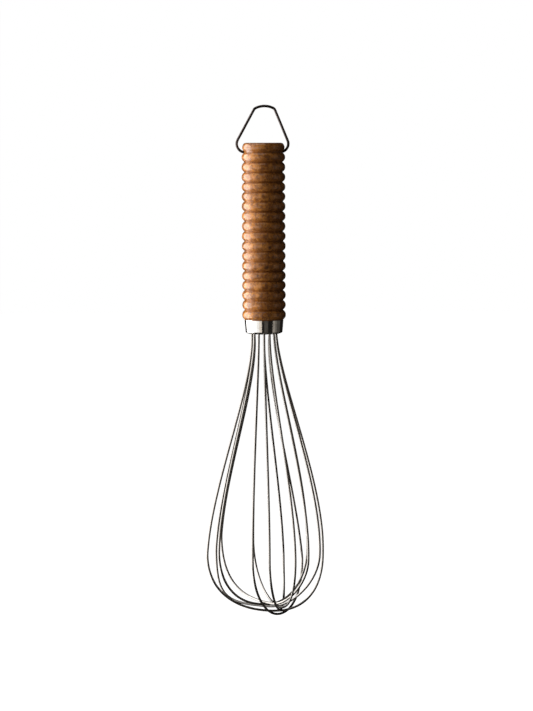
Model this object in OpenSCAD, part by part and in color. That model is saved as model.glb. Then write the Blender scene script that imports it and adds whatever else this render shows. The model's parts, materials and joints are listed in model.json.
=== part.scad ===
// Balloon whisk: seven separate wire loops in a steel ferrule on a turned, beaded wooden handle, hung from
// a steel wire loop whose in-turned ends are the hinge pins.
// Frame: the origin is where a hook bears, at the top inside of the hanging loop. +Z runs up along the
// handle, +X runs along the hinge pins, and -Y is the front.

/* [Handle] */
// Length of the wooden handle, from its flat end to the ferrule
handle_l = 93.65; // [85:0.05:105]
// Height of the first bead, from the hinge pins to the handle's flat end
first_bead_h = 4.95; // [4.5:0.05:5.5]
// Number of turned beads along the handle
bead_count = 18; // [16:1:20]
// Radius of the beads' crests
bead_crest_r = 11.6; // [11.3:0.1:12.2]
// Radius of the round that each bead is turned to
bead_round_r = 3; // [2.8:0.1:3.4]

/* [Hanging loop] */
// Diameter of the loop's steel wire
hang_wire_d = 1.4; // [1.2:0.1:1.6]
// Height from the hinge pins to where a hook bears
hang_h = 23.6; // [22:0.1:26]
// Radial clearance of each pin in its hole
pin_play = 0.08; // [0.02:0.01:0.1]

/* [Ferrule] */
// Length of the ferrule
ferrule_l = 7.5; // [6.5:0.1:9]
// Outer radius at the handle
ferrule_top_r = 10.3; // [10.2:0.1:10.6]
// Outer radius just above the rounded mouth
ferrule_low_r = 9.7; // [9.5:0.1:10]
// Thickness of its sheet steel
ferrule_wall = 0.7; // [0.5:0.1:0.8]

/* [Balloon] */
// Diameter of the balloon's spring wire
wire_d = 1.3; // [1:0.1:1.3]
// Length of the balloon, from the ferrule's mouth to its lowest wire
balloon_l = 150.6; // [145:0.1:160]
// Radius of the balloon at its widest, to the wires' centres
balloon_r = 31; // [29:0.5:33]
// Height of the widest place above the lowest wire
widest_h = 32.2; // [30:0.1:34]
// Radius of the ring of wires where they leave the ferrule
ring_r = 6.6; // [6.6:0.05:6.7]

/* [Hidden] */
$fn = 96;
eps = 0.01;

// Heights along the handle's axis: the pins sit in the groove below the first bead
bead_pitch = (handle_l - first_bead_h) / (bead_count - 1);
pin_z = -hang_h;
handle_top_z = pin_z + first_bead_h;
handle_low_z = handle_top_z - handle_l;
mouth_z = handle_low_z - ferrule_l;
widest_z = mouth_z - balloon_l + wire_d / 2 + widest_h;
lowest_z = mouth_z - balloon_l + wire_d / 2;

// Handle: the beads are one row of equal rounds, the first one turned a little smaller
bead_centre_r = bead_crest_r - bead_round_r;
first_bead_inset = 0.5;
first_bead_drop = 0.15;
groove_r = bead_centre_r + 1.7;
bore_r = 7.3;
bore_top_z = handle_low_z + 30;
drill_tip_h = 3;
pin_hole_end_x = 4.5;
// Each pin hole flares towards its mouth, clear of the loop's bend as it turns
flare_start_x = 8.4;
flare_end_x = 12;
flare_r = 2;

// Tenon that the ferrule is pressed over
tenon_play = 0.05;
tenon_l = ferrule_l - 1.1;
mouth_r = 7.6;
// The ferrule's end is a shallow dome, lowest at its mouth
dome_r = 25;
dome_centre_z = mouth_z + sqrt(dome_r * dome_r - mouth_r * mouth_r);

// Hanging loop: each side of its wire has a pin, a bend, a leg, a shoulder and half of the crown.
// It was bent by hand, so the two sides differ a little.
hang_r = hang_wire_d / 2;
pin_end_x = 5;
bend_r = 4.4;
right_bend_x = 8.8;
left_bend_x = 9.7;
shoulder_r = 2.2;
crown_r = 10.5;
crown_half_angle = 26;
crown_x = 0.6;
hang_sides = 16;
arc_steps = 10;
pin_overlap = 0.5;
pin_step = 0.005;

// Balloon wires
wire_count = 7;
wire_r = wire_d / 2;
wire_sides = 10;
// a polygon drawn at this radius has the round wire's area
sweep_r = wire_r * sqrt(2 * PI / (wire_sides * sin(360 / wire_sides)));
tail_top_z = bore_top_z - 4;
upper_steps = 13;
lower_steps = 12;
leave_h = 27;
arrive_h = 37;
// How each spring wire is bent, in order from left to right along the front of the ferrule:
// its front strand and its back strand, each [bearing of the widest place in degrees from the front,
// rise of that place, fullness of the upper curve, roundness of the lower curve at its side, and at its
// bottom], then its lowest place as [x, y, height above the lowest wire]. The heights let the seven
// wires cross without touching.
bends = [
    [[-82, 0, -0.08, 0.58, 0.64], [94, 0, 0.045, 0.64, 0.62], [6, 0.5, 1.35]],
    [[-51.5, 4, -0.06, 0.56, 0.68], [132.5, 0, 0.04, 0.58, 0.52], [4, 4.5, 4.6]],
    [[-12, 0, 0.02, 0.55, 0.55], [139.5, -6, -0.17, 0.6, 0.64], [8.8, 0.2, 0]],
    [[4.5, 0, 0, 0.55, 0.6], [161, -6, -0.08, 0.55, 0.6], [8.5, -1.8, 2.8]],
    [[31, 0, -0.02, 0.68, 0.62], [192, 4, -0.03, 0.58, 0.5], [7.5, -7.4, 4.8]],
    [[47.5, 0, 0.04, 0.46, 0.46], [229.5, 7, -0.14, 0.66, 0.68], [3.8, -4.5, 6.1]],
    [[69.5, 2, 0.03, 0.48, 0.44], [238.3, 0, -0.1, 0.9, 0.86], [2.2, 5, 3]],
];

// Core and seal
core_r = 5.85;
core_tip_h = 4;
seal_l = 3;
seal_play = 0.02;
seal_low_z = mouth_z + 0.5;
seal_hole_r = 0.75;

// A cubic curve between a and d that leaves towards b and arrives from c
function curve(a, b, c, d, t) =
    pow(1 - t, 3) * a + 3 * pow(1 - t, 2) * t * b + 3 * (1 - t) * t * t * c + pow(t, 3) * d;

// A point at radius r whose bearing is counted from the front, -Y, towards +X
function at_bearing(r, bearing) = [r * sin(bearing), -r * cos(bearing)];

function with_z(p, z) = [p.x, p.y, z];
function unit(v) = v / norm(v);

// The centre line of half a wire loop, from the top of its tail to its lowest place.
// side is 0 for the front strand and 1 for the back one.
function strand(k, side) =
    let (
        bend = bends[k][side],
        low = bends[k][2],
        ring = at_bearing(ring_r, (k - 3) * 180 / wire_count + 180 * side),
        wide = at_bearing(balloon_r, bend[0]),
        other = at_bearing(balloon_r, bends[k][1 - side][0]),
        bottom = [low.x, low.y],
        bottom_z = lowest_z + low.z,
        along = unit(wide - other),
        bulge = bend[2] * (wide - ring),
        wide_z = widest_z + bend[1],
        drop = bottom_z - wide_z,
        reach = norm(wide - bottom) * bend[4]
    )
    concat(
        [with_z(ring, tail_top_z), with_z(ring, mouth_z + 1)],
        [for (i = [0:upper_steps]) curve(
            with_z(ring, mouth_z),
            with_z(1.1 * ring + bulge, mouth_z - leave_h),
            with_z(wide + bulge, wide_z + arrive_h),
            with_z(wide, wide_z),
            i / upper_steps)],
        [for (i = [1:lower_steps]) curve(
            with_z(wide, wide_z),
            with_z(wide, wide_z + drop * bend[3]),
            with_z(bottom + along * reach, bottom_z),
            with_z(bottom, bottom_z),
            i / lower_steps)]
    );

// The whole centre line: down the front strand and up the back one
function loop_path(k) =
    let (front = strand(k, 0), back = strand(k, 1), n = len(back))
    concat(front, [for (i = [2:n]) back[n - i]]);

// A round wire swept along a path that stays close to the upright plane whose normal is across
module sweep(path, radius, sides, across) {
    n = len(path);
    rings = [for (i = [0:n - 1])
        let (
            ahead = unit(path[min(i + 1, n - 1)] - path[max(i - 1, 0)]),
            u = unit(across - (across * ahead) * ahead),
            v = cross(ahead, u)
        )
        for (j = [0:sides - 1])
            path[i] + radius * (cos(360 * j / sides) * u + sin(360 * j / sides) * v)];
    walls = [for (i = [0:n - 2], j = [0:sides - 1])
        let (a = i * sides + j, b = i * sides + (j + 1) % sides)
        each [[a, a + sides, b], [b, a + sides, b + sides]]];
    start_cap = [for (j = [0:sides - 1]) j];
    end_cap = [for (j = [0:sides - 1]) n * sides - 1 - j];
    polyhedron(points = rings, faces = concat(walls, [start_cap], [end_cap]));
}

// One spring wire of the balloon, with both tails
module wire_loop(k) {
    wide = at_bearing(1, bends[k][0][0]) - at_bearing(1, bends[k][1][0]);
    across = unit([-wide.y, wide.x, 0]);
    color("silver") sweep(loop_path(k), sweep_r, wire_sides, across);
}

// Points [x, 0, z] of an arc in the plane of the hanging loop
function arc(centre, r, from_angle, to_angle) =
    [for (i = [0:arc_steps])
        let (t = from_angle + (to_angle - from_angle) * i / arc_steps)
        [centre.x + r * cos(t), 0, centre.y + r * sin(t)]];

// The right-hand half of the hanging loop, from inside the pin to the top of the crown. bend_x is where
// the pin starts to bend, and middle_x is where the crown is highest. The leg is the straight line that
// just touches both the bend and the shoulder.
function hang_half(bend_x, middle_x) =
    let (
        crown_centre = [middle_x, hang_r - crown_r],
        crown_end = 90 - crown_half_angle,
        shoulder = crown_centre + (crown_r - shoulder_r) * [cos(crown_end), sin(crown_end)],
        bend = [bend_x, pin_z + bend_r],
        between = shoulder - bend,
        lean = atan2(-between.x, between.y) + asin((bend_r - shoulder_r) / norm(between)),
        crown = arc(crown_centre, crown_r, crown_end, 90)
    )
    concat(
        [[bend_x - pin_overlap, 0, pin_z]],
        arc(bend, bend_r, -90, lean),
        arc(shoulder, shoulder_r, lean, crown_end),
        [for (i = [1:arc_steps]) crown[i]]
    );

// The bent wire between two straight pins. The wire is drawn just inside the pins' surface.
module hanging_loop() {
    right = hang_half(right_bend_x, crown_x);
    left = hang_half(left_bend_x, -crown_x);
    n = len(left);
    path = concat(right, [for (i = [2:n]) let (p = left[n - i]) [-p.x, 0, p.z]]);
    color("dimgray") union() {
        sweep(path, hang_r - pin_step, hang_sides, [0, 1, 0]);
        translate([pin_end_x, 0, pin_z]) rotate([0, 90, 0])
            cylinder(r = hang_r, h = right_bend_x - pin_end_x);
        translate([-pin_end_x, 0, pin_z]) rotate([0, -90, 0])
            cylinder(r = hang_r, h = left_bend_x - pin_end_x);
    }
}

// Half section of the beaded outside
module bead_section() {
    translate([bead_centre_r - first_bead_inset, pin_z + first_bead_h / 2 - first_bead_drop])
        circle(bead_round_r);
    for (i = [1:bead_count - 1])
        translate([bead_centre_r, pin_z - (i - 0.5) * bead_pitch])
            circle(bead_round_r);
}

module handle() {
    tenon_r = ferrule_low_r - ferrule_wall - tenon_play;
    color("peru") difference() {
        union() {
            rotate_extrude() intersection() {
                union() {
                    bead_section();
                    translate([0, handle_low_z])
                        square([bead_centre_r, handle_l]);
                    translate([0, handle_low_z])
                        square([groove_r, handle_l - first_bead_h / 2]);
                }
                translate([0, handle_low_z])
                    square([bead_crest_r + 1, handle_l]);
            }
            translate([0, 0, handle_low_z - tenon_l])
                cylinder(r = tenon_r, h = tenon_l + bead_round_r);
        }
        translate([0, 0, handle_low_z - tenon_l - 1])
            cylinder(r = bore_r, h = bore_top_z - handle_low_z + tenon_l + 1);
        translate([0, 0, bore_top_z - eps])
            cylinder(r1 = bore_r, r2 = 0.5, h = drill_tip_h);
        for (side = [0, 180])
            rotate([0, 0, side]) translate([0, 0, pin_z]) rotate([0, 90, 0]) {
                translate([0, 0, pin_hole_end_x])
                    cylinder(r = hang_r + pin_play, h = bead_crest_r);
                translate([0, 0, flare_start_x])
                    cylinder(r1 = hang_r + pin_play, r2 = flare_r, h = flare_end_x - flare_start_x);
            }
    }
}

module ferrule() {
    inner_r = ferrule_low_r - ferrule_wall;
    color("gainsboro") rotate_extrude() difference() {
        intersection() {
            polygon([
                [0, handle_low_z],
                [ferrule_top_r, handle_low_z],
                [ferrule_low_r, mouth_z],
                [0, mouth_z - 1]
            ]);
            translate([0, dome_centre_z])
                circle(dome_r, $fn = 360);
        }
        translate([0, mouth_z + ferrule_wall + 0.3])
            square([inner_r, ferrule_l]);
        translate([0, mouth_z - 2])
            square([mouth_r, ferrule_l]);
    }
}

// Peg that spreads the wires' tails against the bore
module core_plug() {
    plug_top_z = tail_top_z - 1;
    plug_low_z = seal_low_z + seal_l + eps;
    color("burlywood") translate([0, 0, plug_low_z]) union() {
        cylinder(r = core_r, h = plug_top_z - plug_low_z - core_tip_h);
        translate([0, 0, plug_top_z - plug_low_z - core_tip_h])
            cylinder(r1 = core_r, r2 = core_r - 2, h = core_tip_h);
    }
}

// Sealing compound that closes the bore round the wires
module mouth_seal() {
    color("darkslategray") difference() {
        translate([0, 0, seal_low_z])
            cylinder(r = bore_r - seal_play, h = seal_l);
        for (i = [0:2 * wire_count - 1]) {
            spot = at_bearing(ring_r, (i - 3) * 180 / wire_count);
            translate([spot.x, spot.y, seal_low_z - 1])
                cylinder(r = seal_hole_r, h = seal_l + 2);
        }
    }
}

hanging_loop();
handle();
ferrule();
core_plug();
mouth_seal();
for (k = [1:wire_count])
    wire_loop(k - 1);
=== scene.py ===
"""Looks for the balloon whisk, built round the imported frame.

Lengths are in metres, in the frame's own axes.
"""

import json
import math
import random

import bmesh
import bpy
from mathutils import Matrix, Vector, noise


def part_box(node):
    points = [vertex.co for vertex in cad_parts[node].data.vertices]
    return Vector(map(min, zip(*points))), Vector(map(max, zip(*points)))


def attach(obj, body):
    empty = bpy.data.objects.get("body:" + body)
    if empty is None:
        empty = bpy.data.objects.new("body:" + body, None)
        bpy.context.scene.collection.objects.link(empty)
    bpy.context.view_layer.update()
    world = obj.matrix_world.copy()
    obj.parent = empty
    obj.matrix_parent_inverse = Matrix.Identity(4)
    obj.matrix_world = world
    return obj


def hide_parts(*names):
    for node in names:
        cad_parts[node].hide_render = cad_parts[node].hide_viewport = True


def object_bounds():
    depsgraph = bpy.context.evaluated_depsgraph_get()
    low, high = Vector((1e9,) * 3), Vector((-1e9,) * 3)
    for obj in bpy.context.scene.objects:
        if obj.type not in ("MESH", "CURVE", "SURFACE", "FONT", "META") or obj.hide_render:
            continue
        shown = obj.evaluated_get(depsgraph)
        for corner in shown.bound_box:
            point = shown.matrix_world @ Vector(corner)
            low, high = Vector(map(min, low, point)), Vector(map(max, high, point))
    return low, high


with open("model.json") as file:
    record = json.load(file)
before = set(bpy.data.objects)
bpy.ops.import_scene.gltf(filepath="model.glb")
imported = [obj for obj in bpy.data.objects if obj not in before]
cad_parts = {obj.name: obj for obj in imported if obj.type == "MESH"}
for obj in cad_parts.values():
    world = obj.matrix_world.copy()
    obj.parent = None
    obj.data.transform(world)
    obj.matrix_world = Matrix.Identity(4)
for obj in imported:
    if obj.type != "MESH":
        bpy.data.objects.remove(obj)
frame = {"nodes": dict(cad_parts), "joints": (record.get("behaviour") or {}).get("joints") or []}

cad_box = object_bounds()

MM = 0.001

# Places and radii that the frame gives
HANDLE_LOW, HANDLE_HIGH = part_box("handle")
FERRULE_LOW, FERRULE_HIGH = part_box("ferrule")
SEAL_LOW, SEAL_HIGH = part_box("mouth_seal")
PIN_Z = frame["joints"][0]["pos_m"][2]
HANDLE_TOP_Z = HANDLE_HIGH.z
TENON_LOW_Z = HANDLE_LOW.z
HANDLE_LOW_Z = FERRULE_HIGH.z
MOUTH_Z = FERRULE_LOW.z
CREST_R = HANDLE_HIGH.x

# Handle, as it is turned
BEAD_COUNT = 18
BEAD_PITCH = (PIN_Z - HANDLE_LOW_Z) / (BEAD_COUNT - 1)
BEAD_R = 3 * MM
GROOVE_R = CREST_R - 1.3 * MM
TENON_R = 8.95 * MM
BORE_R = 7.3 * MM
BORE_TOP_Z = HANDLE_LOW_Z + 30 * MM
END_RIM_R = 9.25 * MM

# The two pin holes, which flare towards their mouths
PIN_HOLE_R = 0.78 * MM
PIN_HOLE_END_X = 4.5 * MM
FLARE_START_X = 8.4 * MM
FLARE_END_X = 12 * MM
FLARE_R = 2 * MM

# Wires, a hair thinner than the CAD part's, so that they stay inside its box
WIRE_R = 0.635 * MM
WIRE_COUNT = 7
HANG_R = 0.695 * MM

# The hanging wire's bends and the middle of its crown. The two sides differ a little.
RIGHT_BEND_X = 8.8 * MM
LEFT_BEND_X = 9.7 * MM
CROWN_X = 0.6 * MM


# ---------------------------------------------------------------- meshes

def piece_from(name, bm, material, smooth_angle=35):
    """A shaded mesh object from a bmesh."""
    bmesh.ops.recalc_face_normals(bm, faces=bm.faces)
    mesh = bpy.data.meshes.new(name)
    bm.to_mesh(mesh)
    bm.free()
    mesh.shade_smooth()
    mesh.set_sharp_from_angle(angle=math.radians(smooth_angle))
    mesh.materials.append(material)
    piece = bpy.data.objects.new(name, mesh)
    bpy.context.scene.collection.objects.link(piece)
    return piece


def lathe(name, outline, material, steps, shape=lambda r, angle, z: r):
    """A closed solid of revolution about Z. The outline is [(radius, z)] and may start and end on the axis.
    shape gives the true radius at each place."""
    bm = bmesh.new()
    rings = []
    for r, z in outline:
        if r == 0:
            rings.append([bm.verts.new((0, 0, z))])
            continue
        ring = []
        for i in range(steps):
            angle = 2 * math.pi * i / steps
            true_r = shape(r, angle, z)
            ring.append(bm.verts.new((true_r * math.sin(angle), -true_r * math.cos(angle), z)))
        rings.append(ring)
    pairs = list(zip(rings, rings[1:]))
    if len(rings[0]) > 1:
        pairs.append((rings[-1], rings[0]))
    for a, b in pairs:
        for i in range(steps):
            j = (i + 1) % steps
            corners = [a[i % len(a)], b[i % len(b)], b[j % len(b)], a[j % len(a)]]
            face = [v for k, v in enumerate(corners) if v not in corners[:k]]
            if len(face) > 2:
                bm.faces.new(face)
    return piece_from(name, bm, material)


def smoothed(path, steps):
    """The path with extra points on a centripetal curve through its own."""
    ends = [2 * path[0] - path[1], *path, 2 * path[-1] - path[-2]]
    dense = []
    for a, b, c, d in zip(ends, ends[1:], ends[2:], ends[3:]):
        t1 = (b - a).length ** 0.5
        t2 = t1 + (c - b).length ** 0.5
        t3 = t2 + (d - c).length ** 0.5
        for i in range(steps):
            t = t1 + (t2 - t1) * i / steps
            ab = a.lerp(b, t / t1)
            bc = b.lerp(c, (t - t1) / (t2 - t1))
            cd = c.lerp(d, (t - t2) / (t3 - t2))
            abc = ab.lerp(bc, t / t2)
            bcd = bc.lerp(cd, (t - t1) / (t3 - t1))
            dense.append(abc.lerp(bcd, (t - t1) / (t2 - t1)))
    return [*dense, path[-1]]


def tube(name, path, radius, material, sides=16):
    """A round wire along a path, with chamfered ends. Its UV map runs round the wire and along it, in mm."""
    bm = bmesh.new()
    uv = bm.loops.layers.uv.new("wire")
    ahead = [(b - a).normalized() for a, b in zip(path, path[1:])]
    ahead = [ahead[0], *[(a + b).normalized() for a, b in zip(ahead, ahead[1:])], ahead[-1]]
    side = ahead[0].orthogonal().normalized()
    length = 0
    rings = []
    last = len(path) - 1
    for i, point in enumerate(path):
        side = (side - side.dot(ahead[i]) * ahead[i]).normalized()
        up = ahead[i].cross(side)
        if i:
            length += (point - path[i - 1]).length
        r = radius * (0.8 if i in (0, last) else 1)
        around = [2 * math.pi * j / sides for j in range(sides)]
        ring = [bm.verts.new(point + r * (math.cos(t) * side + math.sin(t) * up)) for t in around]
        rings.append((ring, length / MM))
    for (a, along_a), (b, along_b) in zip(rings, rings[1:]):
        for j in range(sides):
            k = (j + 1) % sides
            face = bm.faces.new((a[j], a[k], b[k], b[j]))
            turns = (j / sides, (j + 1) / sides, (j + 1) / sides, j / sides)
            lengths = (along_a, along_a, along_b, along_b)
            for loop, turn, along in zip(face.loops, turns, lengths):
                loop[uv].uv = (turn, along)
    bm.faces.new(rings[0][0])
    bm.faces.new(rings[-1][0])
    return piece_from(name, bm, material)


def with_chamfer(path, length):
    """The path with a short first and last step, where tube() tapers the cut ends."""
    first = path[0].lerp(path[1], length / (path[1] - path[0]).length)
    last = path[-1].lerp(path[-2], length / (path[-2] - path[-1]).length)
    return [path[0], first, *path[1:-1], last, path[-1]]


# ---------------------------------------------------------------- materials

class Finish:
    """One material, built node by node."""

    def __init__(self, name):
        self.material = bpy.data.materials.new(name)
        self.material.use_nodes = True
        self.tree = self.material.node_tree
        self.shader = self.tree.nodes["Principled BSDF"]

    def add(self, kind, inputs=None, **settings):
        """A node of that kind. An input is a constant or another node's socket."""
        made = self.tree.nodes.new("ShaderNode" + kind)
        for key, value in settings.items():
            setattr(made, key, value)
        for key, value in (inputs or {}).items():
            self.join(value, made.inputs[key])
        return made

    def join(self, value, socket):
        if isinstance(value, bpy.types.NodeSocket):
            self.tree.links.new(value, socket)
        else:
            socket.default_value = value

    def set(self, **inputs):
        """The shader's own inputs, with _ for a space."""
        for key, value in inputs.items():
            self.join(value, self.shader.inputs[key.replace("_", " ")])

    def place_mm(self, scale=(1, 1, 1), shift=(0, 0, 0)):
        """The place on the object in mm, stretched by scale and then moved by shift."""
        where = self.add("TexCoord").outputs["Object"]
        size = [s / MM for s in scale]
        return self.add("Mapping", {"Vector": where, "Location": shift, "Scale": size}).outputs[0]

    def noise(self, vector, detail=3.0, roughness=0.5, distortion=0.0):
        inputs = {"Vector": vector, "Scale": 1.0, "Detail": detail, "Roughness": roughness,
                  "Distortion": distortion}
        return self.add("TexNoise", inputs).outputs["Fac"]

    def ramp(self, value, low, high, to_low=0.0, to_high=1.0):
        """value from low..high to to_low..to_high, smoothly, and no further."""
        inputs = {"Value": value, "From Min": low, "From Max": high, "To Min": to_low, "To Max": to_high}
        return self.add("MapRange", inputs, interpolation_type="SMOOTHSTEP").outputs["Result"]

    def mix(self, factor, a, b, blend="MIX"):
        """Colour a turning into colour b as factor goes from 0 to 1."""
        made = self.add("Mix", data_type="RGBA", blend_type=blend)
        self.join(factor, made.inputs[0])
        self.join(a, made.inputs[6])
        self.join(b, made.inputs[7])
        return made.outputs[2]

    def math(self, operation, a, b=0.0):
        made = self.add("Math", operation=operation)
        self.join(a, made.inputs[0])
        self.join(b, made.inputs[1])
        return made.outputs[0]

    def bump(self, height, depth, normal=None):
        """Relief of that depth in metres."""
        inputs = {"Height": height, "Distance": depth, "Strength": 1.0}
        if normal is not None:
            inputs["Normal"] = normal
        return self.add("Bump", inputs).outputs["Normal"]


def colour(red, green, blue):
    return (red, green, blue, 1.0)


def turned_wood():
    """Oiled, close-grained hardwood, with growth rings, fibres and short pores along Z, and knots."""
    wood = Finish("turned_wood")

    # growth rings of a blank cut well away from the tree's heart
    warp = wood.noise(wood.place_mm((1 / 14, 1 / 14, 1 / 60)), detail=2)
    off_heart = wood.place_mm((1, 1, 1), (46, 31, 0))
    bent = wood.add("VectorMath", {0: off_heart, 1: (3.5, 3.5, 0)}, operation="MULTIPLY_ADD")
    wood.join(off_heart, bent.inputs[2])
    wood.join(warp, bent.inputs[0])
    rings = wood.add("TexWave", {"Vector": bent.outputs[0], "Scale": 0.115, "Distortion": 0.6, "Detail": 2.0,
                                 "Detail Scale": 0.4}, wave_type="RINGS", rings_direction="Z",
                     wave_profile="SAW").outputs["Fac"]

    fibres = wood.noise(wood.place_mm((1 / 0.25, 1 / 0.25, 1 / 3)), detail=4, roughness=0.6)
    streaks = wood.noise(wood.place_mm((1 / 1.6, 1 / 1.6, 1 / 9)), detail=3)
    blotches = wood.noise(wood.place_mm((1 / 4.5, 1 / 4.5, 1 / 6), (3, 8, 1)), detail=4, roughness=0.65)
    pores = wood.noise(wood.place_mm((1 / 0.28, 1 / 0.28, 1 / 0.8), (9, 4, 2)), detail=2, roughness=0.6)
    pores = wood.ramp(pores, 0.54, 0.68)
    flecks = wood.noise(wood.place_mm((1 / 1.7, 1 / 1.7, 1 / 2.1), (2, 7, 5)), detail=3, roughness=0.7)
    flecks = wood.ramp(flecks, 0.45, 0.6)

    paint = wood.mix(wood.ramp(streaks, 0.3, 0.7), colour(0.42, 0.154, 0.026), colour(0.58, 0.222, 0.041))
    paint = wood.mix(wood.ramp(rings, 0.55, 1.0, 0.0, 0.34), paint, colour(0.25, 0.082, 0.015))
    paint = wood.mix(wood.ramp(blotches, 0.46, 0.6, 0.0, 0.65), paint, colour(0.68, 0.276, 0.055))
    paint = wood.mix(wood.ramp(blotches, 0.38, 0.47, 0.5, 0.0), paint, colour(0.27, 0.090, 0.017))
    paint = wood.mix(wood.ramp(fibres, 0.35, 0.65, 0.3, 0.0), paint, colour(0.20, 0.072, 0.021))
    paint = wood.mix(wood.math("MULTIPLY", flecks, 0.7), paint, colour(0.17, 0.056, 0.014))
    paint = wood.mix(wood.math("MULTIPLY", pores, 0.5), paint, colour(0.11, 0.038, 0.012))

    # painted shade in the grooves, with some oil and dust: the wood darkens towards each groove's floor
    where = wood.add("SeparateXYZ", {"Vector": wood.place_mm()})
    radius = wood.math("SQRT", wood.math("ADD", wood.math("POWER", where.outputs[0], 2.0),
                                         wood.math("POWER", where.outputs[1], 2.0)))
    depth = wood.ramp(radius, GROOVE_R / MM - 0.2, GROOVE_R / MM + 0.75, 0.6, 0.0)
    paint = wood.mix(depth, paint, colour(0.20, 0.062, 0.011))

    # small knots: [bearing from the front in degrees, height above the ferrule in mm, radius in mm]
    knots = (
        (15.5, 38.4, 0.9),
        (6.7, 28, 1.1),
        (-16, 24, 0.7),
        (150, 62, 1.3),
        (96, 44, 0.8),
        (-98, 15, 1.0),
    )
    wobble_mm = 2.2
    for bearing, height, size in knots:
        turn = math.radians(bearing)
        centre = (CREST_R * math.sin(turn) / MM, -CREST_R * math.cos(turn) / MM, HANDLE_LOW_Z / MM + height)
        wobble = wood.add("VectorMath", {0: warp, 1: (wobble_mm, wobble_mm, wobble_mm)}, operation="MULTIPLY")
        near = wood.add("VectorMath", {0: wood.place_mm(), 1: wobble.outputs[0]}, operation="ADD")
        middle = [c + wobble_mm / 2 for c in centre]
        away = wood.add("VectorMath", {0: near.outputs[0], 1: middle}, operation="DISTANCE")
        knot = wood.ramp(away.outputs["Value"], size * 0.35, size * 1.6, 0.8, 0.0)
        paint = wood.mix(knot, paint, colour(0.065, 0.021, 0.008))

    # painted shade round the two pin holes: the wood is drawn near black about their mouths
    from_pins = wood.add("CombineXYZ", {"X": 0.0, "Y": where.outputs[1], "Z": where.outputs[2]})
    from_pins = wood.add("VectorMath", {0: from_pins.outputs[0], 1: (0, 0, PIN_Z / MM)}, operation="DISTANCE")
    pin_hole_shade = wood.ramp(from_pins.outputs["Value"], 1.0, 2.1, 0.9, 0.0)
    paint = wood.mix(pin_hole_shade, paint, colour(0.018, 0.009, 0.006))

    tool_marks = wood.noise(wood.place_mm((1 / 9, 1 / 9, 1 / 0.16)), detail=2)
    relief = wood.bump(tool_marks, 0.012 * MM)
    relief = wood.bump(fibres, 0.02 * MM, relief)
    relief = wood.bump(wood.math("SUBTRACT", 1.0, pores), 0.04 * MM, relief)
    gloss = wood.math("ADD", wood.ramp(blotches, 0.35, 0.65, 0.13, 0.22), wood.math("MULTIPLY", pores, 0.25))
    wood.set(Base_Color=paint, Roughness=gloss, Normal=relief, Coat_Weight=0.4, Coat_Roughness=0.1)
    return wood.material


def plug_wood():
    """Plain turned softwood for the hidden peg."""
    wood = Finish("plug_wood")
    fibres = wood.noise(wood.place_mm((1 / 0.4, 1 / 0.4, 1 / 9)), detail=4)
    paint = wood.mix(wood.ramp(fibres, 0.3, 0.7), colour(0.42, 0.26, 0.13), colour(0.66, 0.47, 0.28))
    wood.set(Base_Color=paint, Roughness=wood.ramp(fibres, 0.3, 0.7, 0.75, 0.6),
             Normal=wood.bump(fibres, 0.03 * MM))
    return wood.material


def polished_steel():
    """Buffed sheet steel: faint turning lines, fine scratches and finger marks."""
    steel = Finish("polished_steel")
    lines = steel.noise(steel.place_mm((1 / 12, 1 / 12, 1 / 0.09)), detail=3, roughness=0.6)
    marks = steel.noise(steel.place_mm((1 / 2.6, 1 / 2.6, 1 / 2.2)), detail=4, roughness=0.6)
    paint = steel.mix(steel.ramp(marks, 0.4, 0.75), colour(0.78, 0.77, 0.755), colour(0.66, 0.645, 0.62))
    gloss = steel.math("ADD", steel.ramp(marks, 0.35, 0.75, 0.07, 0.17),
                       steel.ramp(lines, 0.4, 0.7, 0.0, 0.05))
    steel.set(Base_Color=paint, Metallic=1.0, Roughness=gloss, Normal=steel.bump(lines, 0.0012 * MM))
    return steel.material


def drawn_wire(name, light, dark, low_gloss, high_gloss, stain):
    """Drawn steel wire: die lines along it, dull patches, and staining."""
    wire = Finish(name)
    round_and_along = wire.add("UVMap", uv_map="wire").outputs["UV"]
    stretched = wire.add("Mapping", {"Vector": round_and_along, "Scale": (26, 0.05, 1)}).outputs[0]
    lines = wire.noise(stretched, detail=3, roughness=0.6)
    patches = wire.noise(wire.place_mm((1 / 3.5, 1 / 3.5, 1 / 3.5)), detail=4, roughness=0.65)
    spots = wire.noise(wire.place_mm((1 / 0.5, 1 / 0.5, 1 / 0.5)), detail=2)
    paint = wire.mix(wire.ramp(lines, 0.3, 0.7), light, dark)
    paint = wire.mix(wire.ramp(patches, 0.5, 0.8, 0.0, 0.5), paint, stain)
    gloss = wire.math("ADD", wire.ramp(patches, 0.35, 0.75, low_gloss, high_gloss),
                      wire.ramp(spots, 0.5, 0.8, 0.0, 0.08))
    wire.set(Base_Color=paint, Metallic=1.0, Roughness=gloss, Normal=wire.bump(lines, 0.0015 * MM))
    return wire.material


def sealing_resin():
    """Dark cast resin with a few small bubbles."""
    resin = Finish("sealing_resin")
    lumps = resin.noise(resin.place_mm((1 / 1.8, 1 / 1.8, 1 / 1.8)), detail=3)
    bubbles = resin.add("TexVoronoi", {"Vector": resin.place_mm((1, 1, 1)), "Scale": 1.4}).outputs["Distance"]
    pits = resin.ramp(bubbles, 0.08, 0.16)
    paint = resin.mix(resin.ramp(lumps, 0.3, 0.7), colour(0.055, 0.042, 0.034), colour(0.11, 0.088, 0.07))
    relief = resin.bump(lumps, 0.12 * MM, resin.bump(pits, 0.08 * MM))
    resin.set(Base_Color=paint, Roughness=resin.ramp(lumps, 0.3, 0.7, 0.28, 0.5), Normal=relief)
    return resin.material


# ---------------------------------------------------------------- handle

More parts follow.
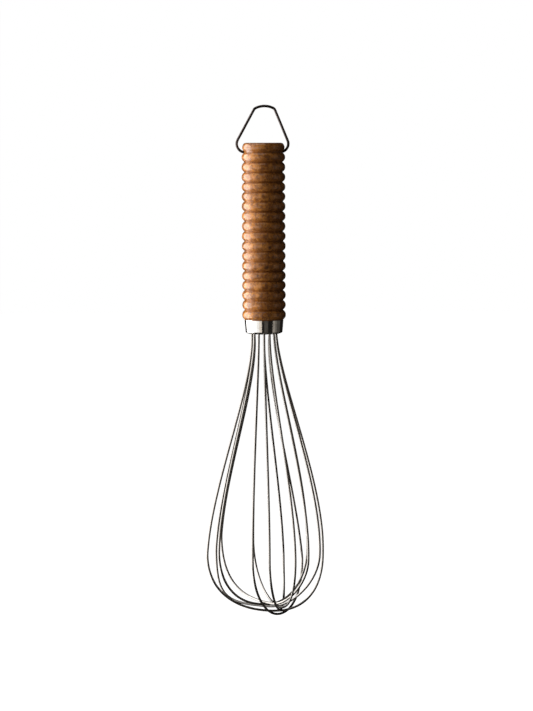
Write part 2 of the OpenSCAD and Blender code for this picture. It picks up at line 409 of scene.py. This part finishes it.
def handle_outline():
    """Half section of the handle: the end face and the beads. handle() adds the tenon and the bore up to the
    drill's tip.
    """
    draw = random.Random(4)
    bead_centre_r = CREST_R - BEAD_R
    steps = 16
    lines = [HANDLE_TOP_Z] + [PIN_Z - i * BEAD_PITCH for i in range(BEAD_COUNT)]
    grooves = [z + draw.uniform(-0.14, 0.14) * MM for z in lines]
    grooves[0], grooves[1], grooves[-1] = lines[0], lines[1], lines[-1]
    floors = [GROOVE_R - draw.uniform(0.05, 0.4) * MM for _ in lines]
    worn = [draw.uniform(0.0, 0.1) * MM for _ in range(BEAD_COUNT)]
    worn[0] = 0.4 * MM
    fillet = 0.3 * MM
    outline = [(0, HANDLE_TOP_Z), (4 * MM, HANDLE_TOP_Z), (8.6 * MM, HANDLE_TOP_Z)]
    for bead in range(BEAD_COUNT):
        high, low = grooves[bead], grooves[bead + 1]
        for i in range(steps):
            share = i / steps
            z = high + (low - high) * share
            across = (2 * share - 1) * BEAD_PITCH / 2
            round_r = bead_centre_r - worn[bead] + math.sqrt(BEAD_R ** 2 - across ** 2)
            round_r -= 0.35 * MM * abs(2 * share - 1) ** 5
            # the grooves' floors are narrow and rounded, not sharp
            floor = floors[bead] if share < 0.5 else floors[bead + 1]
            soft = math.log(math.exp(round_r / fillet) + math.exp(floor / fillet)) * fillet
            outline.append((min(soft, CREST_R), z))
    return outline


def handle(material):
    outline = handle_outline()
    # the first bead starts at the flat end's rim
    outline = [(r if z < HANDLE_TOP_Z - 1e-6 or r < 8.7 * MM else END_RIM_R, z) for r, z in outline]
    tenon = [
        (GROOVE_R - 0.15 * MM, HANDLE_LOW_Z),
        (TENON_R, HANDLE_LOW_Z),
        (TENON_R, TENON_LOW_Z + 0.3 * MM),
        (TENON_R - 0.3 * MM, TENON_LOW_Z),
        (BORE_R, TENON_LOW_Z),
        (BORE_R, BORE_TOP_Z),
        (0.5 * MM, BORE_TOP_Z + 3 * MM),
        (0, BORE_TOP_Z + 3 * MM),
    ]

    def hand_turned(r, angle, z):
        """The cut wavers a little round each bead."""
        if r < GROOVE_R - 0.2 * MM or z > HANDLE_TOP_Z - 0.2 * MM:
            return r
        place = Vector((math.sin(angle) * 1.3, math.cos(angle) * 1.3, z / (2.4 * MM)))
        return min(r, CREST_R - 0.06 * MM) + 0.05 * MM * noise.noise(place)

    piece = lathe("turned_handle", outline + tenon, material, 176, hand_turned)
    cut_pin_holes(piece)
    return piece


def cut_pin_holes(piece):
    """The two blind holes in the groove below the first bead that the hanging wire's ends turn in."""
    bm = bmesh.new()
    for side in (-1, 1):
        turned = Matrix.Translation((0, 0, PIN_Z)) @ Matrix.Rotation(math.radians(90 * side), 4, "Y")
        rings = []
        for r, x in ((PIN_HOLE_R, PIN_HOLE_END_X), (PIN_HOLE_R, FLARE_START_X), (FLARE_R, FLARE_END_X)):
            place = turned @ Matrix.Translation((0, 0, x))
            made = bmesh.ops.create_circle(bm, segments=32, radius=r, matrix=place)
            rings.append(made["verts"])
        for a, b in zip(rings, rings[1:]):
            for i in range(32):
                j = (i + 1) % 32
                bm.faces.new((a[i], a[j], b[j], b[i]))
        bm.faces.new(rings[0])
        bm.faces.new(rings[-1])
    bmesh.ops.recalc_face_normals(bm, faces=bm.faces)
    mesh = bpy.data.meshes.new("drill")
    bm.to_mesh(mesh)
    bm.free()
    drill = bpy.data.objects.new("drill", mesh)
    bpy.context.scene.collection.objects.link(drill)
    cut = piece.modifiers.new("holes", "BOOLEAN")
    cut.operation = "DIFFERENCE"
    cut.solver = "EXACT"
    cut.object = drill
    graph = bpy.context.evaluated_depsgraph_get()
    drilled = bpy.data.meshes.new_from_object(piece.evaluated_get(graph))
    piece.modifiers.remove(cut)
    piece.data = drilled
    piece.data.name = piece.name
    bpy.data.objects.remove(drill)
    piece.data.set_sharp_from_angle(angle=math.radians(35))


# ---------------------------------------------------------------- ferrule and seal

def ferrule(material):
    """A drawn steel cup with a shallow domed end, pressed over the tenon."""
    top_r = FERRULE_HIGH.x
    low_r = top_r - 0.6 * MM
    wall = 0.7 * MM
    edge = 0.15 * MM
    corner_r = 0.8 * MM
    dome_r = 25 * MM
    mouth_r = 7.6 * MM
    dome_centre_z = MOUTH_Z + math.sqrt(dome_r ** 2 - mouth_r ** 2)

    def side_r(z):
        """Radius of the tapered outside."""
        return low_r + (top_r - low_r) * (z - MOUTH_Z) / (HANDLE_LOW_Z - MOUTH_Z)

    outline = [(top_r - wall, HANDLE_LOW_Z), (top_r - edge, HANDLE_LOW_Z), (top_r, HANDLE_LOW_Z - edge)]
    outline += [(side_r(HANDLE_LOW_Z - down), HANDLE_LOW_Z - down) for down in (1 * MM, 2.5 * MM, 4 * MM)]
    corner_x = side_r(MOUTH_Z + 1.5 * MM) - corner_r - 0.02 * MM
    corner_z = dome_centre_z - math.sqrt((dome_r - corner_r) ** 2 - corner_x ** 2)
    for i in range(9):
        turn = math.radians(4 - (94 - math.degrees(math.asin(corner_x / dome_r))) * i / 8)
        outline.append((corner_x + corner_r * math.cos(turn), corner_z + corner_r * math.sin(turn)))
    outline += [(r, dome_centre_z - math.sqrt(dome_r ** 2 - r ** 2))
                for r in (8.7 * MM, 8.2 * MM, mouth_r + edge)]
    outline += [
        (mouth_r, MOUTH_Z + edge),
        (mouth_r, MOUTH_Z + wall + 0.3 * MM),
        (low_r - wall, MOUTH_Z + wall + 0.3 * MM),
        (low_r - wall, HANDLE_LOW_Z - 0.5 * MM),
    ]
    return lathe("polished_ferrule", outline, material, 160)


def mouth_seal(material, wire_spots):
    """The resin round the wires. Its face creeps a little way down each wire and the bore's wall."""
    bm = bmesh.new()
    outer_r = SEAL_HIGH.x
    radial, around = 34, 168
    creep, reach = 0.38 * MM, 0.4 * MM

    def face_z(x, y):
        place = Vector((x, y, 0))
        wire_gap = max(min((place - spot).length for spot in wire_spots) - WIRE_R, 0)
        wall_gap = max(outer_r - place.length, 0)
        lump = 0.09 * MM * noise.noise(place / (1.9 * MM))
        pull = math.exp(-wire_gap / reach) + 0.5 * math.exp(-wall_gap / reach)
        return SEAL_LOW.z + 0.12 * MM + lump - creep * pull

    def ring_of(r, z_of):
        spots = [(r * math.sin(2 * math.pi * j / around), -r * math.cos(2 * math.pi * j / around))
                 for j in range(around)]
        return [bm.verts.new((x, y, z_of(x, y))) for x, y in spots]

    rings = [ring_of(outer_r * i / radial, face_z) for i in range(1, radial + 1)]
    rings += [ring_of(outer_r, lambda x, y: SEAL_HIGH.z), ring_of(outer_r * 0.5, lambda x, y: SEAL_HIGH.z)]
    for a, b in zip(rings, rings[1:]):
        for j in range(around):
            k = (j + 1) % around
            bm.faces.new((a[j], b[j], b[k], a[k]))
    for ring, z in ((rings[0], face_z(0, 0)), (rings[-1], SEAL_HIGH.z)):
        middle = bm.verts.new((0, 0, z))
        for j in range(around):
            bm.faces.new((middle, ring[j], ring[(j + 1) % around]))
    return piece_from("mouth_resin", bm, material, 60)


# ---------------------------------------------------------------- wires

def centre_line(node):
    """The line down the middle of a swept CAD wire, from its front tail's end, ring by ring."""
    bm = bmesh.new()
    bm.from_mesh(frame["nodes"][node].data)
    bmesh.ops.remove_doubles(bm, verts=bm.verts, dist=0.005 * MM)
    top = max(v.co.z for v in bm.verts)
    ends = [v for v in bm.verts if v.co.z > top - 0.01 * MM]
    spot = min(ends, key=lambda v: v.co.y).co.copy()
    ring = [v for v in ends if (v.co - spot).length < 4 * WIRE_R]
    seen = set(ring)
    line = []
    while ring:
        line.append(sum((v.co for v in ring), Vector()) / len(ring))
        beyond = {e.other_vert(v) for v in ring for e in v.link_edges} - seen
        seen |= beyond
        ring = list(beyond)
    bm.free()
    return line


def arc(centre, r, start, end, steps):
    """Points of an arc in the XZ plane, from one angle to the other in degrees."""
    turns = [math.radians(start + (end - start) * i / steps) for i in range(steps + 1)]
    return [Vector((centre[0] + r * math.cos(t), 0, centre[1] + r * math.sin(t))) for t in turns]


def hang_half(bend_x, middle_x):
    """Half of the hanging wire's middle line, from the end of its pin, past the bend, the straight leg and
    the shoulder, to the top of the crown. It repeats the CAD part's own dimensions."""
    pin_end_x, bend_r, shoulder_r = 5 * MM, 4.4 * MM, 2.2 * MM
    crown_r, crown_half_angle = 10.5 * MM, 26
    crown_end = 90 - crown_half_angle
    crown = (middle_x, HANG_R - crown_r)
    out = math.radians(crown_end)
    inward = crown_r - shoulder_r
    shoulder = (crown[0] + inward * math.cos(out), crown[1] + inward * math.sin(out))
    bend = (bend_x, PIN_Z + bend_r)
    across, up = shoulder[0] - bend[0], shoulder[1] - bend[1]
    lean = math.degrees(math.atan2(-across, up) + math.asin((bend_r - shoulder_r) / math.hypot(across, up)))
    pin = [Vector((pin_end_x, 0, PIN_Z)), Vector((pin_end_x + 0.1 * MM, 0, PIN_Z)),
           Vector((bend_x - 1 * MM, 0, PIN_Z))]
    return [*pin, *arc(bend, bend_r, -90, lean, 18), *arc(shoulder, shoulder_r, lean, crown_end, 10),
            *arc(crown, crown_r, crown_end, 90, 12)[1:]]


def hanging_wire(material):
    right = hang_half(RIGHT_BEND_X, CROWN_X)
    left = [Vector((-p.x, 0, p.z)) for p in hang_half(LEFT_BEND_X, -CROWN_X)]
    return tube("hanging_wire", right + left[-2::-1], HANG_R, material, 24)


# ---------------------------------------------------------------- studio

DAYLIGHT = (1.0, 0.985, 0.96)
WARM = (1.0, 0.90, 0.78)


def soft_box(name, from_bearing, to_bearing, distance, low, high, radiance, tint=(1, 1, 1)):
    """An upright rectangle of light facing the whisk, between two bearings from the front towards +X."""
    middle = math.radians((from_bearing + to_bearing) / 2)
    half = math.radians((to_bearing - from_bearing) / 2)
    light = bpy.data.lights.new(name, "AREA")
    light.shape = "RECTANGLE"
    light.size = 2 * distance * math.tan(half)
    light.size_y = high - low
    light.energy = radiance * math.pi * light.size * light.size_y
    light.color = tint
    lamp = bpy.data.objects.new(name, light)
    out = Vector((math.sin(middle), -math.cos(middle), 0))
    lamp.location = out * distance + Vector((0, 0, (low + high) / 2))
    lamp.rotation_mode = "QUATERNION"
    lamp.rotation_quaternion = (-out).to_track_quat("-Z", "Y")
    lamp.visible_camera = False
    bpy.context.scene.collection.objects.link(lamp)
    return lamp


def pale(name, brightness, glow):
    finish = Finish(name)
    finish.set(Base_Color=colour(brightness, brightness, brightness), Roughness=0.9,
               Emission_Color=colour(1, 1, 1), Emission_Strength=glow)
    return finish.material


def studio(whisk_low, whisk_high):
    """A pale floor well below the hanging whisk, and a pale surround. Neither shows in the steel."""
    room_r = 7.0
    floor_place = Matrix.Translation((0, 0, whisk_low.z - 0.25))
    floor = bmesh.new()
    bmesh.ops.create_circle(floor, cap_ends=True, segments=96, radius=room_r, matrix=floor_place)
    floor = piece_from("floor", floor, pale("floor_white", 0.85, 1.0))
    surround = bmesh.new()
    bmesh.ops.create_uvsphere(surround, u_segments=64, v_segments=32, radius=room_r)
    surround = piece_from("surround", surround, pale("surround_white", 0.0, 1.0))
    for part in (floor, surround):
        part.visible_glossy = False
        part.visible_diffuse = False
        part.visible_shadow = False

    world = bpy.data.worlds.new("studio")
    world.use_nodes = True
    world.node_tree.nodes["Background"].inputs["Color"].default_value = colour(1.0, 0.9, 0.8)
    world.node_tree.nodes["Background"].inputs["Strength"].default_value = 0.012
    bpy.context.scene.world = world

    middle_z = (whisk_low.z + whisk_high.z) / 2
    # the window as the steel and the oil show it, and the light it throws on the wood
    window = soft_box("window", -130, -75, 0.9, middle_z - 0.75, middle_z + 0.75, 5.0, DAYLIGHT)
    window.visible_diffuse = False
    key = soft_box("window_key", -106, -78, 1.2, middle_z - 0.5, middle_z + 0.5, 18, DAYLIGHT)
    key.visible_glossy = False
    # its dimmer parts towards the front, and faint fills
    for name, start, end, distance, reach, radiance, tint in (
        ("window_mid", -75, -46, 1.0, 0.4, 1.5, DAYLIGHT),
        ("window_front", -46, -30, 1.1, 0.4, 1.15, DAYLIGHT),
        ("window_edge", -30, -14, 1.2, 0.4, 0.9, WARM),
        ("front_fill", 1, 24, 1.7, 0.7, 0.07, WARM),
        ("right_fill", 55, 70, 1.2, 0.7, 0.32, WARM),
        ("right_back_fill", 70, 84, 1.2, 0.7, 0.16, WARM),
        ("far_right_fill", 84, 113, 1.2, 0.7, 0.06, WARM),
    ):
        soft_box(name, start, end, distance, middle_z - reach, middle_z + reach, radiance, tint)
    ceiling = soft_box("ceiling", -150, -30, 0.35, -0.5, 0.5, 1.2, DAYLIGHT)
    ceiling.location.z = middle_z + 1.0
    ceiling.rotation_quaternion = (ceiling.location - Vector((0, 0, middle_z))).to_track_quat("Z", "Y")
    bounce = soft_box("floor_bounce", -60, 60, 0.2, -0.6, 0.6, 0.07, WARM)
    bounce.location = (0, 0, middle_z - 0.8)
    bounce.rotation_quaternion = Vector((0, 0, -1)).to_track_quat("Z", "Y")


def camera(whisk_low, whisk_high):
    """A long lens, looking slightly down at the middle of the whisk."""
    distance, look_down, roll = 1.5, math.radians(4.25), math.radians(0.23)
    side_step = 1.22 * MM
    aim_z = whisk_high.z - 132.8 * MM
    data = bpy.data.cameras.new("camera")
    data.lens = 143.3
    data.sensor_width = 36
    data.clip_start, data.clip_end = 0.05, 20
    made = bpy.data.objects.new("camera", data)
    place = Matrix.Translation((side_step, -distance, aim_z + distance * math.tan(look_down)))
    tilt = Matrix.Rotation(math.radians(90) - look_down, 4, "X")
    made.matrix_world = place @ tilt @ Matrix.Rotation(-roll, 4, "Z")
    bpy.context.scene.collection.objects.link(made)
    bpy.context.scene.camera = made


# ---------------------------------------------------------------- assembly

def fit(piece, body, slot, *nodes):
    """The piece rides on its body and stands for those CAD nodes."""
    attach(piece, body)
    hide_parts(*nodes)


def build():
    wire_steel = drawn_wire("spring_steel_wire", colour(0.35, 0.337, 0.325), colour(0.25, 0.239, 0.227),
                            0.12, 0.18, colour(0.22, 0.195, 0.17))
    loop_steel = drawn_wire("dark_steel_wire", colour(0.095, 0.078, 0.075), colour(0.062, 0.050, 0.048),
                            0.2, 0.32, colour(0.14, 0.12, 0.105))
    fit(handle(turned_wood()), "whisk", "turned_wood", "handle")
    fit(ferrule(polished_steel()), "whisk", "polished_steel", "ferrule")
    tails = []
    for k in range(1, WIRE_COUNT + 1):
        line = centre_line(f"wire_loop_{k}")
        tails += [Vector((line[0].x, line[0].y, 0)), Vector((line[-1].x, line[-1].y, 0))]
        path = with_chamfer(smoothed(line, 5), 0.12 * MM)
        wire = tube(f"spring_wire_{k}", path, WIRE_R, wire_steel)
        fit(wire, "whisk", "spring_steel_wire", f"wire_loop_{k}")
    fit(mouth_seal(sealing_resin(), tails), "whisk", "sealing_resin", "mouth_seal")
    fit(hanging_wire(loop_steel), "hanging_loop", "dark_steel_wire", "hanging_loop")
    plug = frame["nodes"]["core_plug"]
    plug.data.materials.clear()
    plug.data.materials.append(plug_wood())


build()
studio(*cad_box)
camera(*cad_box)
bpy.context.scene.view_settings.view_transform = "Standard"
